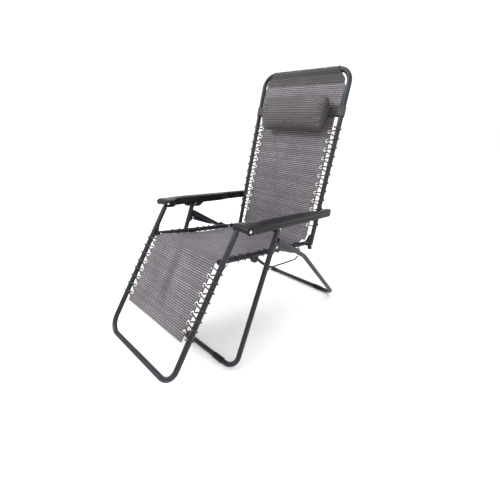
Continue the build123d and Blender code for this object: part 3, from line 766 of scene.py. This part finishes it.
# ----------------------------------------------------------------- armrests
def armrest(sx):
    us = list(np.concatenate([[-15.95, -15.4, -14.0, -11.5, -8, -4, 0, 6, 14, 22, 29, 31.0, 32.2, 33.4, 35, 44, 54, 66, 80],
                              np.arange(110, 350, 30), np.arange(350, 440, 15), np.arange(450, 565, 25), [570, 580, 587, 592, 595, 596]]))
    V = []
    K = 0
    for u in us:
        e = lambda a, b: (lambda q: q * q * (3 - 2 * q))(min(1, max(0, (u - a) / (b - a))))
        xi = 221.5 + 31 * e(28, 68) + 14 * e(345, 425)
        xo = 299.5
        wt = 16.0 + 3.0 * e(35, 130)
        wb = -16.0
        if u < 0:
            c = math.sqrt(max(0.02, 16.0 ** 2 - u * u))
            wt, wb = c, -c
            sq = (16 + u) / 16
            xi += 2.5 * (1 - sq) ** 2
            xo -= 2.5 * (1 - sq) ** 2
        if u > 566:
            q = min(1, (u - 566) / 30.0)
            k = math.sqrt(max(.003, 1 - q * q))
            xm, hw = (xi + xo) / 2, (xo - xi) / 2 * k
            xi, xo = xm - hw, xm + hw
            kk = .35 + .65 * math.sqrt(max(0, 1 - q ** 3))
            wt, wb = wt * kk, wb * kk
        if 30.5 < u < 34:
            xi, xo, wt, wb = xi + .8, xo - .8, wt - .8, wb + .8
        H = wt - wb
        r = min(6.5, H * .24, (xo - xi) * .22)
        T = min(3.6, (xo - xi) * .2)
        cav = max(.4, min(1, max(0, (u + 12.5) / 3)) * min(1, max(0, (578 - u) / 4)) * (H - 4.0))
        crown = 1.4 * min(1, H / 24)
        g = 1.3 * e(60, 90) * (1 - e(540, 565))
        mid = (wt + wb) / 2
        p = [(xi + .8, wb), (xi, wb + 1.2), (xi, mid - 2), (xi, mid + 3), (xi, wt - r), (xi + r * .3, wt - r * .3), (xi + r, wt),
             ((xi * 2 + xo) / 3, wt + crown * .8), ((xi + xo) / 2, wt + crown), ((xi + xo * 2) / 3, wt + crown * .8),
             (xo - r, wt), (xo - r * .3, wt - r * .3), (xo, wt - r), (xo, mid + 3.2), (xo - g, mid + 2.4), (xo - g, mid - 2.2), (xo, mid - 3.0),
             (xo, wb + 1.2), (xo - .8, wb), (xo - T + .8, wb), (xo - T, wb + .6), (xo - T, wb + cav), (xi + T, wb + cav), (xi + T, wb + .6), (xi + T - .8, wb)]
        K = len(p)
        for x, w_ in p:
            V.append(ARM.at(sx * x, u, w_))
    F = grid_faces(len(us), K, True)
    F.append(tuple(range(K - 1, -1, -1)))
    F.append(tuple((len(us) - 1) * K + j for j in range(K)))
    ob = new_mesh("armrest_moulding_" + ("right" if sx > 0 else "left"), V, F)
    bm = bmesh.new()
    bm.from_mesh(ob.data)
    bmesh.ops.triangulate(bm, faces=[f for f in bm.faces if len(f.verts) > 4])
    bmesh.ops.recalc_face_normals(bm, faces=bm.faces)
    bm.to_mesh(ob.data)
    bm.free()
    sd = ob.modifiers.new("s", "SUBSURF")
    sd.levels = sd.render_levels = 2
    apply_mods(ob)
    ob.data.shade_smooth()
    skin(ob, ARMP)
    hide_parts("armrest_right" if sx > 0 else "armrest_left")
    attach(ob, "armrests")


armrest(1)
armrest(-1)


# stitch lines: short raised stitches along hems
def stitches(name, pts, body, up, step=.0046, ln=.0030, r=.00045):
    p = np.asarray([tuple(q) for q in pts], float)
    d = np.r_[0, np.cumsum(np.linalg.norm(np.diff(p, axis=0), axis=1))]
    parts = []
    k = 0.0
    up = np.asarray(up, float)
    while k + ln < d[-1]:
        a = np.array([np.interp(k, d, p[:, i]) for i in range(3)])
        b = np.array([np.interp(k + ln, d, p[:, i]) for i in range(3)])
        m = (a + b) / 2 + up * r * .9
        parts.append(tube_mesh("s", [a - up * r, a * .7 + b * .3 + up * r * .6, m, a * .3 + b * .7 + up * r * .6, b - up * r], r, 5))
        k += step
    return parts


back_n = dn
foot_n = np.array((0, -FOOT.m[0], -FOOT.m[1]))
parts = []
for sx in (1, -1):
    parts += stitches("s", [BACK.at(sx * 198.0, s_, 1.6) for s_ in (600, 100)], "back", back_n)
for s_ in (796, 789):
    parts += stitches("s", [BACK.at(x_, s_, 4.4) for x_ in (-190, 190)], "back", back_n)
st = back_st = join_meshes("back_stitching", parts)
skin(st, THREAD)
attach(st, "back")
parts = []
for s_ in (441, 446):
    parts += stitches("s", [FOOT.at(x_, s_, -1.4) for x_ in (-198, 198)], "footrest", foot_n)
for sx in (1, -1):
    parts += stitches("s", [FOOT.at(sx * 184.0, s_, -1.4) for s_ in (200, 466)], "footrest", foot_n)
st = join_meshes("footrest_stitching", parts)
skin(st, THREAD)
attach(st, "footrest")


# ----------------------------------------------------------- floor and light
def floor():
    V, F = [], []
    n = 41
    for i in range(n):
        for j in range(n):
            V.append((-90 + 180 * i / (n - 1), -90 + 180 * j / (n - 1), 0.0))
    F = grid_faces(n, n)
    ob = new_mesh("studio_floor", V, F)
    m = Mat("studio_floor")
    m.to(m.ramp(m.noise(3, 3), [(.3, (.905, .905, .905)), (.7, (.925, .925, .925))]), "Base Color")
    m.set(Roughness=.9)
    ob.data.materials.append(m.m)


floor()
w = bpy.data.worlds.new("studio")
bpy.context.scene.world = w
w.use_nodes = True
w.node_tree.nodes["Background"].inputs[0].default_value = (1, 1, 1, 1)
w.node_tree.nodes["Background"].inputs[1].default_value = 1.12


def area(name, loc, target, size, power):
    li = bpy.data.lights.new(name, "AREA")
    li.shape = "RECTANGLE"
    li.size = li.size_y = size
    li.energy = power
    ob = bpy.data.objects.new(name, li)
    bpy.context.scene.collection.objects.link(ob)
    ob.location = loc
    ob.rotation_euler = (Vector(target) - Vector(loc)).to_track_quat("-Z", "Y").to_euler()


area("key", (-1.6, -2.6, 3.4), (0, 0, .5), 1.6, 115)
area("fill", (3.0, -1.2, 2.2), (0, 0, .5), 2.4, 40)
area("top", (.2, .6, 3.8), (0, 0, .5), 3.0, 45)

# ------------------------------------------------------------------- camera
C = (.96614, -.71055 - YC / 1000, .99570)
AZ, EL, RO, FPX = .7514, .4234, .0078, 295.93
fwd = Vector((-math.sin(AZ) * math.cos(EL), math.cos(AZ) * math.cos(EL), -math.sin(EL)))
right = fwd.cross(Vector((0, 0, 1))).normalized()
up = right.cross(fwd)
r2 = math.cos(RO) * right + math.sin(RO) * up
u2 = -math.sin(RO) * right + math.cos(RO) * up
cam = bpy.data.cameras.new("camera")
cam.sensor_width = 36.0
cam.lens = FPX / 500 * 36.0
cam.clip_start = .05
cam.clip_end = 100
co_ = bpy.data.objects.new("camera", cam)
bpy.context.scene.collection.objects.link(co_)
M = Matrix((( r2.x, u2.x, -fwd.x, C[0]), (r2.y, u2.y, -fwd.y, C[1]), (r2.z, u2.z, -fwd.z, C[2]), (0, 0, 0, 1)))
co_.matrix_world = M
bpy.context.scene.camera = co_
bpy.context.scene.view_settings.view_transform = "Standard"
